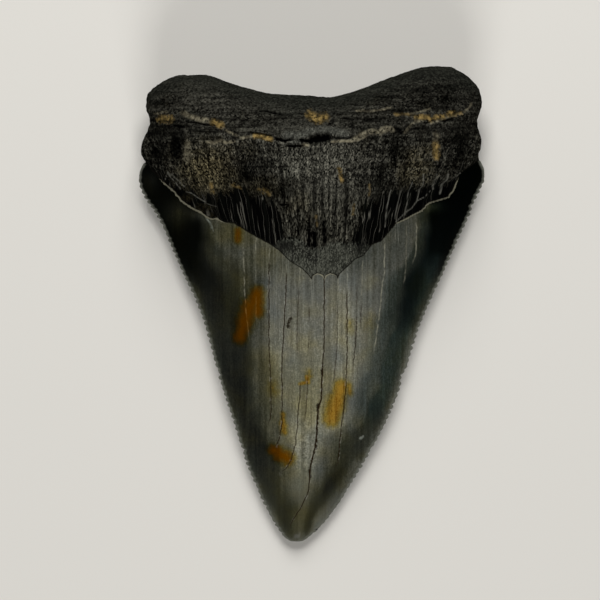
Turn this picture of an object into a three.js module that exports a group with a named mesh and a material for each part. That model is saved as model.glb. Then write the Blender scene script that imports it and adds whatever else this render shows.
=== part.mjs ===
// A broad triangular shark tooth with a serrated crown and a two-lobed root, turned to stone.
// It lies on its flat outer face with the bulging inner face up, root at +Y and tip at -Y.
// Millimetres, +Z up. The origin is under the middle of the tooth, on the surface it rests on.

import * as THREE from "three";
import { mergeVertices } from "three/addons/utils/BufferGeometryUtils.js";

// Overall size
const LENGTH = 76;
const WIDTH = 55.2;
const THICKNESS = 16.4;

// Height above the resting plane of the line where the two faces meet
const CUTTING_EDGE_HEIGHT = 2.4;
const ROOT_SEAM_HEIGHT = 6;
const TIP_HEIGHT = 1.4;

// Serrations down each cutting edge, worn to low nubs and worn away near the shoulder and the tip
const SERRATIONS = 66;
const SERRATION_DEPTH = 0.24;
const SERRATIONS_START = [0.03, 0.08];
const SERRATIONS_END = [0.9, 0.98];

// How far in from its end each face takes to round over
const INNER_RIM_ROUND = 7.5;
const OUTER_RIM_ROUND = 5;
const TIP_ROUND = 1.2;

// Across the tooth, the inner face is (1 - s^spread)^fullness of its height, with s from 0 to 1
const CROWN_LENS = { spread: 2.2, fullness: 1.15 };
const ROOT_ARCH = { spread: 3, fullness: 0.6 };
const ARCH_CHANGE = [-1.5, 4.5];

// Across the tooth, the outer face is flat this far out before it turns up to the edge
const FLAT_SHARE = 0.5;
const OUTER_ROOT_ROUND = 5;

// The crack and the nutrient hole in the root's inner face
const CRACK_DEPTH = 0.6;
const CRACK_WIDTH = 1.3;
const NUTRIENT_HOLE = { x: 1.2, y: 26, length: 5, width: 1.5, depth: 1.3 };

// How far the enamel stands proud of the root on each face, and the hollow between the lobes behind
const ENAMEL_STEP = 0.35;
const ENAMEL_LIP = 0.4;
const OUTER_ENAMEL_STEP = 0.4;
const OUTER_ROOT_HOLLOW = 1.1;

// Mesh: columns across each face, rows down the root, and two rows to each serration down the crown
const COLUMNS = 32;
const EDGE_CROWDING = 0.6;
const ROOT_ROWS = 24;
const CROWN_ROWS = 2 * SERRATIONS;
const LAST_ROW = ROOT_ROWS + CROWN_ROWS;
const ROWS_PER_RIB = 4;

const { clamp, lerp, smoothstep } = THREE.MathUtils;

// Places are given in a box that runs from -1 to 1 over the tooth's width and length
const atX = (x) => (x * WIDTH) / 2;
const atY = (y) => (y * LENGTH) / 2;

function outline(points) {
  const corners = points.map(([x, y]) => new THREE.Vector3(atX(x), atY(y), 0));
  return new THREE.CatmullRomCurve3(corners, false, "centripetal");
}

// Outline, seen from the inner face
const rootRim = outline([
  [-0.917, 0.908],
  [-0.83, 0.949],
  [-0.71, 0.963],
  [-0.547, 0.946],
  [-0.362, 0.904],
  [-0.145, 0.876],
  [0.036, 0.87],
  [0.196, 0.887],
  [0.428, 0.944],
  [0.612, 0.992],
  [0.725, 1],
  [0.844, 0.983],
  [0.928, 0.936],
]);

const leftRootSide = outline([
  [-0.917, 0.908],
  [-0.953, 0.867],
  [-0.958, 0.82],
  [-0.94, 0.767],
  [-0.974, 0.69],
  [-0.985, 0.64],
  [-0.967, 0.604],
]);

const rightRootSide = outline([
  [0.928, 0.936],
  [0.967, 0.894],
  [0.98, 0.841],
  [0.962, 0.762],
  [0.978, 0.683],
  [0.966, 0.62],
]);

const leftCuttingEdge = outline([
  [-0.967, 0.604],
  [-0.998, 0.558],
  [-1, 0.52],
  [-0.975, 0.457],
  [-0.898, 0.373],
  [-0.815, 0.247],
  [-0.692, 0.058],
  [-0.574, -0.195],
  [-0.482, -0.447],
  [-0.395, -0.636],
  [-0.29, -0.825],
  [-0.138, -0.99],
]);

const rightCuttingEdge = outline([
  [0.966, 0.62],
  [0.99, 0.578],
  [0.996, 0.52],
  [0.946, 0.436],
  [0.79, 0.184],
  [0.641, -0.068],
  [0.522, -0.321],
  [0.417, -0.51],
  [0.272, -0.699],
  [0.105, -0.888],
  [-0.047, -0.99],
]);

const tipEdge = outline([
  [-0.138, -0.99],
  [-0.092, -1],
  [-0.047, -0.99],
]);

// A smooth curve through [place, value] pairs
function smoothCurve(pairs) {
  const places = new Float32Array(pairs.map(([place]) => place));
  const values = new Float32Array(pairs.map(([, value]) => value));
  const curve = new THREE.CubicInterpolant(places, values, 1);
  return (place) => curve.evaluate(place)[0];
}

const heightAlong = (pairs) => smoothCurve(pairs.map(([y, height]) => [atY(y), height]));
const lineAcross = (pairs) => smoothCurve(pairs.map(([x, y]) => [atX(x), atY(y)]));

// Height of the inner face along the middle of the tooth
const crestHeight = heightAlong([
  [-1, 0.13 * THICKNESS],
  [-0.92, 0.2 * THICKNESS],
  [-0.79, 0.29 * THICKNESS],
  [-0.53, 0.46 * THICKNESS],
  [-0.26, 0.62 * THICKNESS],
  [0, 0.73 * THICKNESS],
  [0.21, 0.81 * THICKNESS],
  [0.42, 0.91 * THICKNESS],
  [0.63, THICKNESS],
  [1, THICKNESS],
]);

// Height of the line where the faces meet: the cutting edge, then the side of the root
const seamHeight = heightAlong([
  [-1, TIP_HEIGHT],
  [-0.79, lerp(TIP_HEIGHT, CUTTING_EDGE_HEIGHT, 0.6)],
  [-0.13, CUTTING_EDGE_HEIGHT],
  [0.5, CUTTING_EDGE_HEIGHT],
  [0.645, ROOT_SEAM_HEIGHT],
  [1, ROOT_SEAM_HEIGHT],
]);

// Margin of the enamel on the inner face, a wide V with a blunt point
const enamelMargin = lineAcross([
  [-0.98, 0.595],
  [-0.862, 0.51],
  [-0.667, 0.387],
  [-0.446, 0.321],
  [-0.21, 0.226],
  [-0.036, 0.134],
  [0.054, 0.118],
  [0.138, 0.126],
  [0.308, 0.203],
  [0.493, 0.337],
  [0.685, 0.416],
  [0.848, 0.497],
  [0.98, 0.595],
]);

// Margin of the enamel on the outer face, a shallow arch
const outerEnamelMargin = lineAcross([
  [-0.98, 0.595],
  [0, 0.487],
  [0.98, 0.595],
]);

// Line of the crack across the root
const rootCrack = lineAcross([
  [-0.928, 0.784],
  [-0.764, 0.8],
  [-0.543, 0.753],
  [-0.442, 0.711],
  [-0.214, 0.695],
  [0.036, 0.679],
  [0.221, 0.687],
  [0.464, 0.742],
  [0.598, 0.755],
  [0.743, 0.789],
  [0.964, 0.834],
]);

// Rows are counted from the root rim to the tip, and end on the sides of the root or on the cutting edges
function rowEnd(row, rootSide, cuttingEdge) {
  if (row <= ROOT_ROWS) return rootSide.getPointAt(row / ROOT_ROWS);
  return cuttingEdge.getPointAt((row - ROOT_ROWS) / CROWN_ROWS);
}

// Every second row end is the crest of a serration, pushed out square to the edge
function serrationPush(row, cuttingEdge, side) {
  const down = Math.max(0, row - ROOT_ROWS) / CROWN_ROWS;
  const worn = smoothstep(down, ...SERRATIONS_START) * (1 - smoothstep(down, ...SERRATIONS_END));
  const push = (row % 2 === 0 ? -0.5 : 0.5) * SERRATION_DEPTH * worn;
  const along = cuttingEdge.getTangentAt(down);
  return new THREE.Vector3(-along.y, along.x, 0).multiplyScalar(side * push);
}

// How far a curve bows away from the straight line between its ends
function bow(curve, share) {
  const straight = curve.getPointAt(0).lerp(curve.getPointAt(1), share);
  return curve.getPointAt(share).sub(straight);
}

// A quarter circle that rises from 0 at an end to 1 one radius in from it
function quarterRound(share) {
  return Math.sqrt(1 - (1 - clamp(share, 0, 1)) ** 2);
}

// Inner face: a lens across the crown and a fuller arch across the root, which has a crack and a hole
function innerHeight({ x, y }, side, fromRim, fromTip) {
  const aboveMargin = y - enamelMargin(x);
  const crown = (1 - side ** CROWN_LENS.spread) ** CROWN_LENS.fullness;
  const root = (1 - side ** ROOT_ARCH.spread) ** ROOT_ARCH.fullness;
  const arch = lerp(crown, root, smoothstep(aboveMargin, ...ARCH_CHANGE));
  const ends = quarterRound(fromRim / INNER_RIM_ROUND) * quarterRound(fromTip / TIP_ROUND);
  const enamel = ENAMEL_STEP * smoothstep(-aboveMargin, -ENAMEL_LIP, ENAMEL_LIP);
  const crack = CRACK_DEPTH * Math.exp(-(((y - rootCrack(x)) / CRACK_WIDTH) ** 2)) * arch;
  const alongHole = (x - NUTRIENT_HOLE.x) / (NUTRIENT_HOLE.length / 2);
  const acrossHole = (y - NUTRIENT_HOLE.y) / (NUTRIENT_HOLE.width / 2);
  const hole = NUTRIENT_HOLE.depth * Math.exp(-(alongHole ** 2) - acrossHole ** 2);
  return lerp(seamHeight(y), crestHeight(y) + enamel, arch * ends) - crack - hole;
}

// Outer face: flat where the tooth rests, turning up to the cutting edges and round the root
function outerHeight({ x, y }, side, fromRim, fromTip) {
  const aboveMargin = y - outerEnamelMargin(x);
  const crown = 1 - Math.max(0, (side - FLAT_SHARE) / (1 - FLAT_SHARE)) ** 2;
  const root = Math.sqrt(1 - side ** OUTER_ROOT_ROUND);
  const flat = lerp(crown, root, smoothstep(aboveMargin, -1, 3));
  const ends = quarterRound(fromRim / OUTER_RIM_ROUND) * quarterRound(fromTip / TIP_ROUND);
  const enamel = OUTER_ENAMEL_STEP * smoothstep(aboveMargin, -ENAMEL_LIP, ENAMEL_LIP);
  const hollow = OUTER_ROOT_HOLLOW * smoothstep(aboveMargin, 2, 12) * (1 - smoothstep(side, 0.1, 0.6));
  return lerp(seamHeight(y), enamel + hollow, flat * ends);
}

// One point of a face. Columns run from the left edge to the right edge, closer together near the edges.
function facePoint(row, column, faceHeight) {
  const even = (2 * column) / COLUMNS - 1;
  const across = lerp(even, Math.sin((Math.PI / 2) * even), EDGE_CROWDING);
  const share = (1 + across) / 2;
  const left = rowEnd(row, leftRootSide, leftCuttingEdge);
  const right = rowEnd(row, rightRootSide, rightCuttingEdge);
  const point = left.lerp(right, share);
  point.addScaledVector(bow(rootRim, share), Math.max(0, 1 - row / ROOT_ROWS) ** 1.5);
  point.addScaledVector(bow(tipEdge, share), smoothstep(row, LAST_ROW - ROWS_PER_RIB, LAST_ROW));
  if (column === 0) point.add(serrationPush(row, leftCuttingEdge, -1));
  if (column === COLUMNS) point.add(serrationPush(row, rightCuttingEdge, 1));
  const fromRim = rootRim.getPointAt(share).y - point.y;
  const fromTip = point.y - tipEdge.getPointAt(share).y;
  point.z = faceHeight(point, Math.abs(across), fromRim, fromTip);
  return point;
}

// A patch between two ribs and two columns. At the sides it takes in every row end between the ribs.
function patchCorners(top, bottom, column, faceHeight) {
  const rows = Array.from({ length: bottom - top + 1 }, (_, step) => top + step);
  const leftRows = column === 0 ? rows : [top, bottom];
  const rightRows = column + 1 === COLUMNS ? rows : [top, bottom];
  const corners = [
    ...rightRows.map((row) => facePoint(row, column + 1, faceHeight)),
    ...leftRows.reverse().map((row) => facePoint(row, column, faceHeight)),
  ];
  if (column + 1 === COLUMNS) corners.unshift(corners.pop());
  return corners;
}

// Triangles that share a patch's first corner
function fan([first, ...others]) {
  return others.slice(1).flatMap((corner, i) => [first, others[i], corner]);
}

// Ribs are the rows that cross the whole face: every row of the root, then one to every two serrations
function toothGeometry() {
  const corners = [];
  for (let top = 0; top < LAST_ROW; ) {
    const bottom = top < ROOT_ROWS ? top + 1 : top + ROWS_PER_RIB;
    for (let column = 0; column < COLUMNS; column++) {
      corners.push(...fan(patchCorners(top, bottom, column, innerHeight)).reverse());
      corners.push(...fan(patchCorners(top, bottom, column, outerHeight)));
    }
    top = bottom;
  }
  const geometry = mergeVertices(new THREE.BufferGeometry().setFromPoints(corners), 1e-3);
  geometry.computeVertexNormals();
  return geometry;
}

const fossil = new THREE.MeshStandardMaterial({ name: "fossil", color: 0x63625a, roughness: 0.45 });
const tooth = new THREE.Mesh(toothGeometry(), fossil);
tooth.name = "tooth";

const part = new THREE.Group();
part.name = "shark_tooth";
part.add(tooth);

export default part;
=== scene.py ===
# %% [markdown]
# # A fossil shark tooth
#
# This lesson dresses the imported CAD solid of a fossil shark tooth. The tooth lies on its flat outer face,
# with the inner face up, the tip towards -Y and the root towards +Y. Everything is made in code: one
# dense mesh that follows the photo's outline, relief that is pressed into it, and one material that tells
# enamel, neck and root apart.

import bpy
import numpy as np
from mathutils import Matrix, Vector, noise


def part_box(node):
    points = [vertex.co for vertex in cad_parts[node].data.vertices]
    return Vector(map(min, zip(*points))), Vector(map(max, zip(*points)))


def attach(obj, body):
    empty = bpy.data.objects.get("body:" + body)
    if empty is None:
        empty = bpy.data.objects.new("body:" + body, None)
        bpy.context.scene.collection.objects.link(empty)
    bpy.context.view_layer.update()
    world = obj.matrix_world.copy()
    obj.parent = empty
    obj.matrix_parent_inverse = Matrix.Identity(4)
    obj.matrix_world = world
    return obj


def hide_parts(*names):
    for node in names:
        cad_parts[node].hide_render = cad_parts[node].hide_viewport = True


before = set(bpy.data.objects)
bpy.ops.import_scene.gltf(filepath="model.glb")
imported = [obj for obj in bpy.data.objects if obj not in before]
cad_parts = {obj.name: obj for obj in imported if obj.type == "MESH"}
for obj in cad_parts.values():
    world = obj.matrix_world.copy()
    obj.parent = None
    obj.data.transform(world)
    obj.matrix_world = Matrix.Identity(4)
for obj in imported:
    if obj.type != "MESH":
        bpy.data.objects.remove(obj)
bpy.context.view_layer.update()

MM = 0.001
low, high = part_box("tooth")
WIDTH, LENGTH, THICKNESS = (high - low) / MM
print(f"CAD tooth: {WIDTH:.1f} x {LENGTH:.1f} x {THICKNESS:.1f} mm")

# %% [markdown]
# ## The photo as a ruler
#
# The photo looks straight at the inner face, so a place on the photo is a place on the tooth. Every
# marking below is given by its pixel, and the CAD length says how many millimetres a pixel is. A smooth
# line through a few points is all that most outlines need, so one helper draws such lines for the rest of
# the lesson, and two more let a value rise or fade softly. Lengths are in millimetres and rows and
# columns of the photo in pixels, unless a comment says otherwise.

# %% Pixels, millimetres and smooth lines
PHOTO_LENGTH = 475
PHOTO_ORIGIN = (312, 304)
PIXEL = LENGTH / PHOTO_LENGTH


def smooth_line(points, at):
    """The height of a smooth curve through (place, height) points, at the places asked for."""
    place, height = np.array(points, float).T
    steepness = np.diff(height) / np.diff(place)
    before, after = steepness[:-1], steepness[1:]
    steady = before * after > 0
    middle = np.divide(2 * before * after, before + after, out=np.zeros_like(before), where=steady)
    slope = np.concatenate([steepness[:1], middle, steepness[-1:]])
    at = np.clip(at, place[0], place[-1])
    i = np.clip(np.searchsorted(place, at) - 1, 0, len(place) - 2)
    leave = height[i] + slope[i] * (at - place[i])
    arrive = height[i + 1] + slope[i + 1] * (at - place[i + 1])
    t = (at - place[i]) / (place[i + 1] - place[i])
    return leave + (arrive - leave) * t * t * (3 - 2 * t)


def rise(value, start, end):
    """0 before start, 1 after end, and a smooth rise between them."""
    t = np.clip((value - start) / (end - start), 0, 1)
    return t * t * (3 - 2 * t)


def fade(distance, reach):
    """1 at no distance, fading softly to almost 0 at twice the reach."""
    return np.exp(-((distance / reach) ** 2))


print(f"one photo pixel is {PIXEL:.3f} mm")

# %% [markdown]
# ## The outline
#
# A shark tooth is a flat triangle of enamel under a root with two rounded lobes, and a small notch on
# each side marks where they meet. The outline could be cut out of a plane with a boolean, but then the
# faces inside it would run anywhere. Here the tooth is woven from rows instead: each row ends on the left
# and right outline, so the edges come out clean and every row is free to bend.

# %% Rows from the root's rim to the tip
LEFT_SIDE = [
    (154, 88), (150.5, 92), (148, 96), (147, 102), (147, 110), (149, 116), (150, 121), (148, 130),
    (144, 140), (142, 150), (142.5, 155), (145, 160), (142, 167), (139.5, 173), (139, 179), (140, 185),
    (144, 195), (157, 215), (171, 245), (184, 275), (198, 305), (208, 335), (216, 365), (225, 395),
    (235, 425), (244, 455), (256, 485), (270, 515), (279, 530), (285, 538), (289, 541),
]
RIGHT_SIDE = [
    (472, 81.5), (476, 87), (478.5, 93), (480.3, 99), (480.8, 105), (479.5, 111), (477.5, 118),
    (477.3, 124), (479, 133), (480.8, 143), (480, 149), (478, 155), (479.5, 160), (482, 165),
    (484.3, 171), (484.5, 177), (482, 185), (477, 195), (469, 215), (455, 245), (442, 275), (428, 305),
    (416, 335), (407, 365), (397, 395), (384, 425), (368, 455), (350, 485), (330, 515), (317, 530),
    (308, 538), (304, 541),
]
ROOT_RIM = [
    (154, 88), (160, 83.5), (166, 80), (173, 77), (182, 75), (192, 75), (204, 76), (220, 80), (250, 88.5),
    (280, 94.5), (304, 96.5), (326, 97), (340, 94.5), (364, 87), (394, 76), (412, 70), (426, 66.5),
    (436, 66), (446, 66.5), (456, 69.5), (465, 75), (472, 81.5),
]
NOTCH_ROW, TIP_ROW = 160, 541
ROOT_ROWS, CROWN_ROWS = 92, 308
RIM_CROWDING = 1.3
root_steps = np.linspace(0, 1, ROOT_ROWS, endpoint=False) ** RIM_CROWDING
down_root = np.concatenate([root_steps, np.ones(CROWN_ROWS + 1)])
down_crown = np.concatenate([np.zeros(ROOT_ROWS), np.linspace(0, 1, CROWN_ROWS + 1)])


def row_ends(side):
    """The photo place where every row meets this side of the outline."""
    corner = side[0][1]
    y = corner + (NOTCH_ROW - corner) * down_root + (TIP_ROW - NOTCH_ROW) * down_crown
    return smooth_line([(py, px) for px, py in side], y), y


left_x, left_y = row_ends(LEFT_SIDE)
right_x, right_y = row_ends(RIGHT_SIDE)
row_y = (left_y + right_y) / 2
row_width = right_x - left_x
print(f"{len(row_y)} rows, the widest {row_width.max() * PIXEL:.1f} mm")

# %% [markdown]
# ## Shrinkage cracks
#
# As the buried tooth dried, its enamel split along fine lines that run from the root towards the tip.
# Drawing such hairlines needs very small faces or a texture that follows them. Laying the columns of the
# mesh along the cracks gives both: a vertex sits on each crack all the way, so it stays thin, and the
# same columns fan out into the root above, where the fibres of the neck run the same way.

# %% Crack courses, as shares of each row
FIBRE_FAN = (318, 560)
CRACKS = [
    # points of the course, then stretches of it as first row, last row and strength,
    # above 0 where the crack is open and dark and below 0 where mineral fills it
    ([(243, 243), (244, 260), (245, 293), (249, 335)], [(243, 338, -0.8)]),
    ([(256, 239), (256, 280), (256, 317)], [(239, 252, -0.9), (265, 285, -0.3), (298, 320, -0.6)]),
    ([(270, 246), (269, 280), (269, 340), (270, 368), (271, 405), (270, 418), (268, 423)],
     [(246, 262, -0.7), (262, 425, 0.9)]),
    ([(287, 262), (286, 290), (285, 310), (283, 345), (282, 360), (282, 412), (280, 434), (276, 446)],
     [(262, 272, -0.6), (274, 448, 1)]),
    ([(300, 270), (298, 310), (297, 352), (300, 386), (298, 412), (296, 438), (293, 453), (288, 465),
     (279, 474)],
     [(268, 284, -0.7), (290, 354, 0.6), (384, 476, 0.9)]),
    ([(310, 277), (309, 315), (308, 370), (307, 392), (305, 420)],
     [(277, 290, -0.6), (308, 322, 0.8), (335, 352, 0.6), (376, 420, 0.7)]),
    ([(324, 277), (324, 340), (322, 373), (321, 398), (318, 410), (316, 440), (313, 455), (310, 472),
     (309, 486), (303, 503), (297, 514), (290, 525)],
     [(276, 527, 1), (365, 480, 0.8)]),
    ([(338, 277), (337, 337), (335, 367), (333, 383)], [(276, 296, -0.8), (304, 385, 0.7)]),
    ([(347, 272), (347, 340), (346, 378), (344, 405), (341, 430), (338, 463)],
     [(270, 290, -0.6), (292, 465, 1)]),
    ([(357, 262), (356, 327), (353, 367)], [(288, 310, 0.5), (316, 368, 0.9)]),
    ([(362, 258), (361, 290), (360, 326)], [(260, 300, -0.5), (306, 327, 0.7)]),
    ([(384, 236), (384, 265), (382, 285), (378, 322), (374, 350)], [(236, 352, -0.9)]),
    ([(406, 222), (406, 255), (403, 288)], [(226, 284, -0.5)]),
    ([(416, 218), (416, 248), (413, 262), (405, 282), (400, 300)], [(222, 262, -0.9)]),
]
MAIN_CRACK = 6
CLOSEST_SHARE = 0.02
CRACK_JITTER, CRACK_STEP = 0.4, 3
dice = np.random.default_rng(seed=5)


def share_of_row(course):
    """Where a crack crosses every row. It fans out above its start and keeps its share below its end."""
    x, y = np.array(course, float).T
    fan_x, fan_y = FIBRE_FAN
    above = fan_x + (x[0] - fan_x) * (fan_y - row_y) / (fan_y - y[0])
    along = np.where(row_y < y[0], above, smooth_line(list(zip(y, x)), row_y))
    jitter = dice.uniform(-CRACK_JITTER, CRACK_JITTER, int(TIP_ROW // CRACK_STEP) + 1)
    along += np.interp(row_y, np.arange(len(jitter)) * CRACK_STEP, jitter) * (row_y > y[0])
    share = (along - left_x) / row_width
    end = np.searchsorted(row_y, y[-1]) - 1
    share[end:] = share[end]
    return share


crack_share = np.array([share_of_row(course) for course, _ in CRACKS])
for k in reversed(range(MAIN_CRACK)):
    crack_share[k] = np.minimum(crack_share[k], crack_share[k + 1] - CLOSEST_SHARE)
for k in range(MAIN_CRACK + 1, len(CRACKS)):
    crack_share[k] = np.maximum(crack_share[k], crack_share[k - 1] + CLOSEST_SHARE)
print(f"{len(CRACKS)} cracks guide the columns")

# %% [markdown]
# ## Columns between the cracks
#
# A plain grid would spread its columns evenly. These gather where something fine happens: at the cutting
# edges, where the serrations are, and beside the cracks on the enamel. In the root they are even again,
# because its grain is the same everywhere.

# %% Weave the grid
COLUMNS_BETWEEN = [44, 7, 8, 10, 8, 8, 10, 9, 7, 7, 4, 13, 13, 8, 34]
EDGE_CROWDING = 1.5
CRACK_CROWDING = 0.75
ENAMEL_ROWS = (225, 285)
TIP_BOW, TIP_BOW_ROWS = 1.5, 8
RIM_BOW_FADE = 1.5

posts = np.vstack([np.zeros_like(row_y), crack_share, np.ones_like(row_y)])
crowding = CRACK_CROWDING * rise(row_y, *ENAMEL_ROWS)[:, None]
strips = []
for k, count in enumerate(COLUMNS_BETWEEN):
    t = np.arange(count)[None] / count
    if k == 0:
        t = t ** EDGE_CROWDING
    elif k == len(COLUMNS_BETWEEN) - 1:
        t = 1 - (1 - t) ** EDGE_CROWDING
    else:
        t = t - crowding * np.sin(2 * np.pi * t) / (2 * np.pi)
    strips.append(posts[k][:, None] + (posts[k + 1] - posts[k])[:, None] * t)
share = np.hstack(strips + [np.ones((len(row_y), 1))])
side = np.abs(2 * share - 1)

photo_x = left_x[:, None] + row_width[:, None] * share
photo_y = left_y[:, None] + (right_y - left_y)[:, None] * share
rim_bow = smooth_line(ROOT_RIM, photo_x[0]) - photo_y[0]
photo_y += rim_bow * (1 - down_root[:, None]) ** RIM_BOW_FADE
photo_y += TIP_BOW * (1 - side ** 2) * rise(row_y, TIP_ROW - TIP_BOW_ROWS, TIP_ROW)[:, None]
from_rim = (photo_y - photo_y[0]) * PIXEL
from_tip = (photo_y[-1] - photo_y) * PIXEL
ROWS, COLUMNS = share.shape
print(f"grid of {ROWS} x {COLUMNS} places")

# %% [markdown]
# ## Serrated cutting edges
#
# Both edges of the crown carry about ten fine serrations to the centimetre, like a bread knife, and a few
# of them are chipped. A displacement texture would blur them, so the ends of the rows are moved in and
# out along the edge, and the shift dies away a little inside it.

# %% Serrations and chips
SERRATION_PITCH = 0.98
SERRATION_DEPTH = 0.38
SERRATION_REACH = 0.5
SERRATION_MIDDLE = 0.6
SERRATION_SIZES = (0.6, 1.4)
WOBBLE, WOBBLE_STEP = 0.2, 3
SERRATED_ROWS = (172, 190, 530, 541)
CHIPS = [
    # side, photo row, reach in rows, depth in mm
    ("right", 377, 6, 0.4), ("right", 205, 3, 0.25), ("right", 449, 3, 0.2), ("left", 450, 3, 0.3),
    ("left", 372, 4, 0.2),
]

edge_mm = np.full(share.shape, np.inf)
serrated = rise(row_y, *SERRATED_ROWS[:2]) * (1 - rise(row_y, *SERRATED_ROWS[2:]))
for name, end_x, outward in (("left", left_x, -1), ("right", right_x, 1)):
    lean = np.gradient(end_x, row_y)
    run = np.concatenate([[0], np.cumsum(np.hypot(np.diff(end_x), np.diff(row_y)))]) * PIXEL
    knots = np.arange(0, run[-1] + WOBBLE_STEP, WOBBLE_STEP)
    thrown = dice.uniform(-WOBBLE, WOBBLE, int(run[-1] / WOBBLE_STEP) + 2)
    wobble = np.interp(run, knots, thrown[:len(knots)])
    turn = run / SERRATION_PITCH + wobble
    size = dice.uniform(*SERRATION_SIZES, int(turn.max()) + 3)[np.floor(turn + 1).astype(int)]
    shift = SERRATION_DEPTH * size * (np.abs(np.sin(np.pi * turn)) - SERRATION_MIDDLE) * serrated
    for chip_side, chip_row, chip_reach, chip_depth in CHIPS:
        if chip_side == name:
            shift -= chip_depth * fade(row_y - chip_row, chip_reach)
    inside = np.abs(photo_x - end_x[:, None]) * PIXEL / np.hypot(1, lean)[:, None]
    photo_x += outward * shift[:, None] / PIXEL * fade(inside, SERRATION_REACH)
    edge_mm = np.minimum(edge_mm, inside)
x_mm = (photo_x - PHOTO_ORIGIN[0]) * PIXEL
y_mm = (PHOTO_ORIGIN[1] - photo_y) * PIXEL
print(f"serrations {SERRATION_PITCH} mm apart, outline {np.ptp(x_mm):.1f} x {np.ptp(y_mm):.1f} mm")

# %% [markdown]
# ## Two faces
#
# Seen from the edge, the tooth is a thick lens: the inner face bulges, the outer one is nearly flat, and
# they meet in a thin cutting edge. Around the root they meet in a blunt rounded wall. Such a form could
# be sculpted, but then it would drift away from the solid. The heights below repeat the forms of the CAD
# solid, so the dressed tooth fills the same room, and they are worked out for the whole grid at once.

# %% Heights of the inner and outer face
CREST = [
    (-1, 0.13), (-0.92, 0.2), (-0.79, 0.29), (-0.53, 0.46), (-0.26, 0.62), (0, 0.73), (0.21, 0.81),
    (0.42, 0.91), (0.63, 0.985), (1, 0.985),
]
TIP_HEIGHT, CUTTING_EDGE_HEIGHT, ROOT_SEAM_HEIGHT = 1.4, 2.4, 6
INNER_RIM_ROUND, OUTER_RIM_ROUND, TIP_ROUND = 7.5, 5, 1.2
TIP_TO_EDGE, EDGE_TO_ROOT = (-1, -0.3), (0.5, 0.645)
CROWN_LENS, ROOT_BARREL, CROWN_TO_ROOT = (2.2, 1.15), (3, 0.6), (-1.5, 4.5)
BEVEL_START, OUTER_SQUARENESS, OUTER_TO_ROOT = 0.5, 5, (-1, 3)
OUTER_STEP, OUTER_STEP_AT = 0.4, (-0.4, 0.4)
OUTER_HOLLOW, HOLLOW_UP, HOLLOW_ACROSS = 1.1, (2, 12), (0.1, 0.6)
ENAMEL_SWEEP = [
    (143, 163), (163, 183), (197, 212), (235, 228), (276, 250), (306, 271), (321, 276), (336, 273),
    (365, 256), (397, 224), (430, 205), (458, 185), (481, 163),
]
OUTER_SWEEP = [(139, 163), (312, 188), (485, 163)]


def quarter_round(t):
    """The rise of a quarter circle from 0 to 1."""
    return np.sqrt(1 - (1 - np.clip(t, 0, 1)) ** 2)


up_length = y_mm / (LENGTH / 2)
crest = THICKNESS * smooth_line(CREST, up_length)
seam = (TIP_HEIGHT + (CUTTING_EDGE_HEIGHT - TIP_HEIGHT) * rise(up_length, *TIP_TO_EDGE)
        + (ROOT_SEAM_HEIGHT - CUTTING_EDGE_HEIGHT) * rise(up_length, *EDGE_TO_ROOT))

above_enamel = (smooth_line(ENAMEL_SWEEP, photo_x) - photo_y) * PIXEL
lens, barrel = ((1 - side ** square) ** full for square, full in (CROWN_LENS, ROOT_BARREL))
arch = lens + (barrel - lens) * rise(above_enamel, *CROWN_TO_ROOT)
tip_round = quarter_round(from_tip / TIP_ROUND)
inner_z = seam + (crest - seam) * arch * quarter_round(from_rim / INNER_RIM_ROUND) * tip_round

above_outer = (smooth_line(OUTER_SWEEP, photo_x) - photo_y) * PIXEL
bevel = 1 - np.clip((side - BEVEL_START) / (1 - BEVEL_START), 0, 1) ** 2
flat = bevel + (np.sqrt(1 - side ** OUTER_SQUARENESS) - bevel) * rise(above_outer, *OUTER_TO_ROOT)
lowest = OUTER_STEP * rise(above_outer, *OUTER_STEP_AT)
lowest += OUTER_HOLLOW * rise(above_outer, *HOLLOW_UP) * (1 - rise(side, *HOLLOW_ACROSS))
outer_z = seam + (lowest - seam) * flat * quarter_round(from_rim / OUTER_RIM_ROUND) * tip_round
print(f"crest {inner_z.max():.1f} mm high, cutting edge {CUTTING_EDGE_HEIGHT} mm above the floor")

# %% [markdown]
# ## What the camera sees
#
# The camera stands a metre away, so a raised place looks a little further from the middle of the picture
# than a low one. Markings are measured on the photo, so every place of the inner face gets the pixel
# where the camera will see it. That could be done with a texture projected from the camera, but such a
# texture would slide in other views.

# %% Seen pixels
PHOTO_SIZE = 600
CAMERA_DISTANCE = 1000
OUTLINE_HEIGHT = 5
nearer = CAMERA_DISTANCE / (CAMERA_DISTANCE + OUTLINE_HEIGHT - inner_z)
photo_middle = PHOTO_SIZE / 2
seen_x = photo_middle + (photo_x - photo_middle) * nearer
seen_y = photo_middle + (photo_y - photo_middle) * nearer
pushed = np.hypot(seen_x - photo_x, seen_y - photo_y)
print(f"raised places look up to {pushed.max():.1f} pixels further out")

# %% [markdown]
# ## Where enamel, neck and root begin
#
# Three tissues meet on the inner face. Enamel covers the crown and ends in a V. Above it lies a black
# neck where the gum once held on, and over that hangs the porous root, whose lower edge drips down in
# threads. Painting masks by hand would mean images, so each border is a line of pixels, and every vertex
# keeps how far it is from it.

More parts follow.
